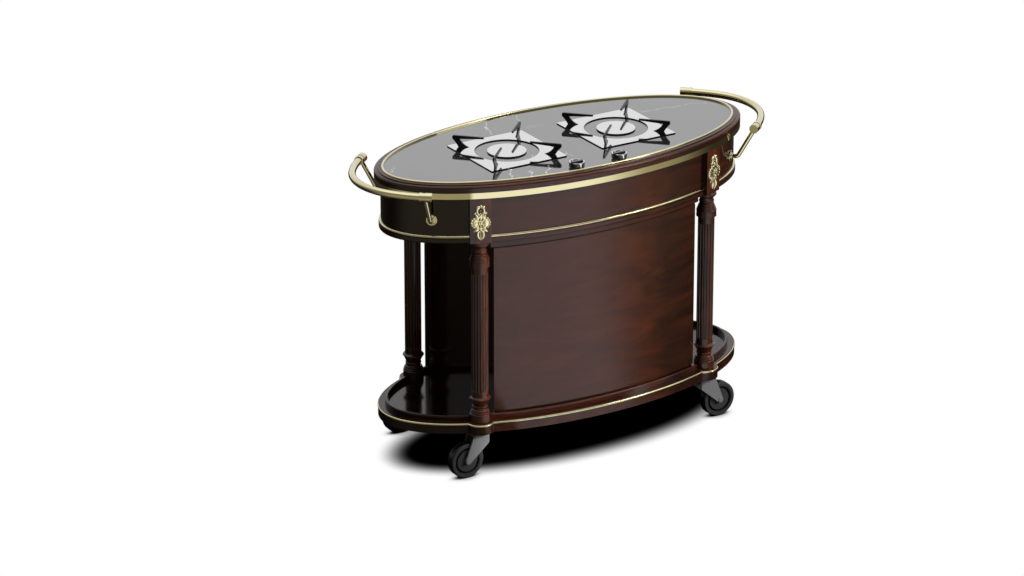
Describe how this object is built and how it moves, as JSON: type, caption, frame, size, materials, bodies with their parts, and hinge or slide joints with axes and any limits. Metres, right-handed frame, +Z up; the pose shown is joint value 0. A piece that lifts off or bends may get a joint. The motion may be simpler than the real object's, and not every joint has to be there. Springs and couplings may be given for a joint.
{
  "type": "cooking service cart",
  "caption": "Oval mahogany flambe trolley with a stone top, gas burners, brass handles, fluted columns, bow-front cabinet and swivel castors.",
  "frame": {"origin": "on the floor under the middle of the table", "axes": "+X along the table, +Y to the back with the doors, +Z up"},
  "size_m": [1.262, 0.5309, 0.872],
  "materials": {
    "mahogany": "high-gloss lacquer",
    "plain_board": "satin",
    "brass": "polished",
    "gilt": "polished cast",
    "stone": "polished stone",
    "polished_steel": "polished",
    "black_iron": "black enamel",
    "burner_alloy": "cast",
    "copper_pipe": "drawn",
    "knob_black": "gloss",
    "chrome": "polished",
    "castor_grey": "zinc grey",
    "axle_steel": "turned",
    "hub_black": "moulded",
    "tyre": "rubber"
  },
  "bodies": {
    "cart": {"table_frame": "mahogany", "apron_boards": "mahogany", "apron_mouldings": "mahogany", "shelf_board": "mahogany", "shelf_bead": "mahogany", "front_panel": "mahogany", "cabinet_rails": "mahogany", "side_panels": "mahogany", "corner_blocks": "mahogany", "leg_front_left": "mahogany", "leg_front_right": "mahogany", "leg_rear_left": "mahogany", "leg_rear_right": "mahogany", "soffit_board": "plain_board", "edge_band": "brass", "stone_rim": "brass", "brass_lines": "brass", "handle_collars": "brass", "handle_brackets": "brass", "handle_tube_left": "brass", "handle_tube_right": "brass", "gas_taps": "brass", "corner_ornaments": "gilt", "stone_top": "stone", "door_fittings": "polished_steel", "burner_bodies": "burner_alloy", "gas_pipes": "copper_pipe", "castor_heads": "castor_grey"},
    "castor_front_left": {"castor_fork_front_left": "castor_grey", "castor_axle_front_left": "axle_steel"},
    "wheel_front_left": {"castor_hub_front_left": "hub_black", "castor_tyre_front_left": "tyre"},
    "castor_front_right": {"castor_fork_front_right": "castor_grey", "castor_axle_front_right": "axle_steel"},
    "wheel_front_right": {"castor_hub_front_right": "hub_black", "castor_tyre_front_right": "tyre"},
    "castor_rear_left": {"castor_fork_rear_left": "castor_grey", "castor_axle_rear_left": "axle_steel"},
    "wheel_rear_left": {"castor_hub_rear_left": "hub_black", "castor_tyre_rear_left": "tyre"},
    "castor_rear_right": {"castor_fork_rear_right": "castor_grey", "castor_axle_rear_right": "axle_steel"},
    "wheel_rear_right": {"castor_hub_rear_right": "hub_black", "castor_tyre_rear_right": "tyre"},
    "door_left": {"door_left": "mahogany", "door_knob_left": "brass"},
    "spindle_left": {"tap_spindle_left": "polished_steel"},
    "knob_left": {"control_knob_left": "knob_black", "knob_ring_left": "chrome"},
    "pan_left": {"drip_plate_left": "polished_steel", "pan_support_left": "black_iron"},
    "cap_left": {"burner_cap_left": "polished_steel"},
    "door_right": {"door_right": "mahogany", "door_knob_right": "brass"},
    "spindle_right": {"tap_spindle_right": "polished_steel"},
    "knob_right": {"control_knob_right": "knob_black", "knob_ring_right": "chrome"},
    "pan_right": {"drip_plate_right": "polished_steel", "pan_support_right": "black_iron"},
    "cap_right": {"burner_cap_right": "polished_steel"}
  },
  "joints": [
    {"name": "swivel_front_left", "type": "hinge", "parent": "cart", "child": "castor_front_left", "pos_m": [-0.362, -0.17801, 0.115], "axis": [0, 0, 1], "continuous": true},
    {"name": "roll_front_left", "type": "hinge", "parent": "castor_front_left", "child": "wheel_front_left", "pos_m": [-0.408, -0.17801, 0.05], "axis": [0, 1, 0], "continuous": true},
    {"name": "swivel_front_right", "type": "hinge", "parent": "cart", "child": "castor_front_right", "pos_m": [0.362, -0.17801, 0.115], "axis": [0, 0, 1], "continuous": true},
    {"name": "roll_front_right", "type": "hinge", "parent": "castor_front_right", "child": "wheel_front_right", "pos_m": [0.408, -0.17801, 0.05], "axis": [0, 1, 0], "continuous": true},
    {"name": "swivel_rear_left", "type": "hinge", "parent": "cart", "child": "castor_rear_left", "pos_m": [-0.362, 0.17801, 0.115], "axis": [0, 0, 1], "continuous": true},
    {"name": "roll_rear_left", "type": "hinge", "parent": "castor_rear_left", "child": "wheel_rear_left", "pos_m": [-0.408, 0.17801, 0.05], "axis": [0, 1, 0], "continuous": true},
    {"name": "swivel_rear_right", "type": "hinge", "parent": "cart", "child": "castor_rear_right", "pos_m": [0.362, 0.17801, 0.115], "axis": [0, 0, 1], "continuous": true},
    {"name": "roll_rear_right", "type": "hinge", "parent": "castor_rear_right", "child": "wheel_rear_right", "pos_m": [0.408, 0.17801, 0.05], "axis": [0, 1, 0], "continuous": true},
    {"name": "door_left_swing", "type": "hinge", "parent": "cart", "child": "door_left", "pos_m": [-0.313, 0.178, 0.4], "axis": [0, 0, 1], "range_deg": [0, 95]},
    {"name": "knob_left_turn", "type": "hinge", "parent": "cart", "child": "spindle_left", "pos_m": [-0.079, -0.2118, 0.82], "axis": [0, 0, 1], "range_deg": [0, 210]},
    {"name": "knob_left_push", "type": "slide", "parent": "spindle_left", "child": "knob_left", "axis": [0, 0, -1], "range_m": [0, 0.0025], "stiffness_N_per_m": 1500, "springref_m": -0.004},
    {"name": "pan_left_lift", "type": "slide", "parent": "cart", "child": "pan_left", "axis": [0, 0, 1], "range_m": [0, 0.1]},
    {"name": "cap_left_lift", "type": "slide", "parent": "cart", "child": "cap_left", "axis": [0, 0, 1], "range_m": [0, 0.06]},
    {"name": "door_right_swing", "type": "hinge", "parent": "cart", "child": "door_right", "pos_m": [0.313, 0.178, 0.4], "axis": [0, 0, -1], "range_deg": [0, 95]},
    {"name": "knob_right_turn", "type": "hinge", "parent": "cart", "child": "spindle_right", "pos_m": [0.055, -0.2118, 0.82], "axis": [0, 0, 1], "range_deg": [0, 210]},
    {"name": "knob_right_push", "type": "slide", "parent": "spindle_right", "child": "knob_right", "axis": [0, 0, -1], "range_m": [0, 0.0025], "stiffness_N_per_m": 1500, "springref_m": -0.004},
    {"name": "pan_right_lift", "type": "slide", "parent": "cart", "child": "pan_right", "axis": [0, 0, 1], "range_m": [0, 0.1]},
    {"name": "cap_right_lift", "type": "slide", "parent": "cart", "child": "cap_right", "axis": [0, 0, 1], "range_m": [0, 0.06]}
  ]
}
